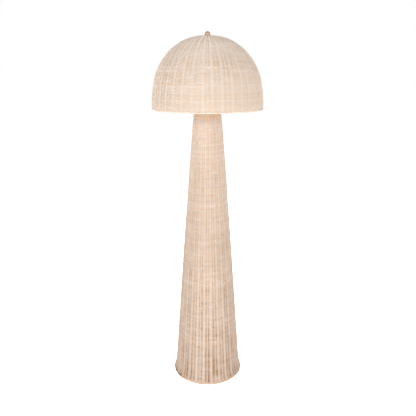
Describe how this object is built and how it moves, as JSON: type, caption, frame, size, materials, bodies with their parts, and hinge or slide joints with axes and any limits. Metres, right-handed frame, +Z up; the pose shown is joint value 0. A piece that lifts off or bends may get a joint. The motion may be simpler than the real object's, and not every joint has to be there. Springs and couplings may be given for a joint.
{
  "type": "rattan floor lamp",
  "caption": "Mushroom floor lamp of woven natural rattan: a domed basket shade with a ball finial on a tall tapering woven column.",
  "frame": {"origin": "on the floor, on the lamp's vertical axis", "axes": "+Z up along the lamp's axis, -Y the front, where the switch knob is, +Y the back, where the cable bush is, +X to the right seen from the front"},
  "size_m": [0.46, 0.46, 1.52],
  "materials": {
    "woven_rattan": "natural cane, lightly oiled",
    "rattan_wrapping": "split cane wrapping, satin",
    "antique_brass": "antique brass, satin",
    "contact_brass": "plain brass",
    "zinc_steel": "zinc plated",
    "painted_steel": "cream paint",
    "cast_iron": "as cast",
    "rubber": "matt",
    "dark_phenolic": "moulded, semi-matt",
    "card_liner": "pressed card",
    "frosted_glass": "frosted"
  },
  "bodies": {
    "root": {"foot_pad_1": "rubber", "foot_pad_2": "rubber", "foot_pad_3": "rubber", "foot_pad_4": "rubber", "base_plate": "painted_steel", "base_weight": "cast_iron", "base_rim": "rattan_wrapping", "column_skin": "woven_rattan", "cable_bush": "rubber", "column_top_rim": "rattan_wrapping", "column_cap": "painted_steel", "frame_rod_1": "painted_steel", "frame_rod_2": "painted_steel", "frame_rod_3": "painted_steel", "frame_rod_4": "painted_steel", "frame_rod_5": "painted_steel", "frame_rod_6": "painted_steel", "frame_hoop_1": "painted_steel", "frame_hoop_2": "painted_steel", "frame_hoop_3": "painted_steel", "frame_hoop_4": "painted_steel", "threaded_tube": "zinc_steel", "base_nut_lower": "zinc_steel", "base_washer": "zinc_steel", "base_nut_upper": "zinc_steel", "column_washer": "zinc_steel", "column_nut": "zinc_steel", "turned_neck": "antique_brass", "harp_saddle": "antique_brass", "harp_bow": "antique_brass", "harp_stud": "antique_brass", "socket_cap": "antique_brass", "socket_shell": "antique_brass", "socket_liner": "card_liner", "socket_core": "dark_phenolic", "screw_shell": "contact_brass", "centre_contact": "contact_brass"},
    "shade": {"shade_skin": "woven_rattan", "shade_rim": "rattan_wrapping", "shade_apex_ring": "rattan_wrapping", "shade_hub": "antique_brass", "shade_hoop_1": "painted_steel", "shade_hoop_2": "painted_steel", "shade_rib_1": "painted_steel", "shade_rib_2": "painted_steel", "shade_rib_3": "painted_steel", "shade_rib_4": "painted_steel", "shade_rib_5": "painted_steel", "shade_rib_6": "painted_steel", "shade_rib_7": "painted_steel", "shade_rib_8": "painted_steel"},
    "finial": {"finial": "antique_brass"},
    "bulb": {"bulb_cap": "zinc_steel", "bulb_glass": "frosted_glass"},
    "switch": {"switch_stem": "antique_brass", "switch_knob": "dark_phenolic"},
    "ferrule_left": {"harp_ferrule_left": "antique_brass"},
    "ferrule_right": {"harp_ferrule_right": "antique_brass"}
  },
  "joints": [
    {"name": "shade_swivel", "type": "hinge", "parent": "root", "child": "shade", "pos_m": [0, 0, 1.4834], "axis": [0, 0, 1], "continuous": true},
    {"name": "finial_turn", "type": "hinge", "parent": "root", "child": "finial", "pos_m": [0, 0, 1.49], "axis": [0, 0, 1], "continuous": true},
    {"name": "bulb_turn", "type": "hinge", "parent": "root", "child": "bulb", "pos_m": [0, 0, 1.28], "axis": [0, 0, 1], "continuous": true},
    {"name": "switch_turn", "type": "hinge", "parent": "root", "child": "switch", "pos_m": [0, -0.019, 1.2548], "axis": [0, -1, 0], "continuous": true},
    {"name": "ferrule_left_lift", "type": "slide", "parent": "root", "child": "ferrule_left", "axis": [0, 0, 1], "range_m": [0, 0.012]},
    {"name": "ferrule_right_lift", "type": "slide", "parent": "root", "child": "ferrule_right", "axis": [0, 0, 1], "range_m": [0, 0.012]}
  ]
}
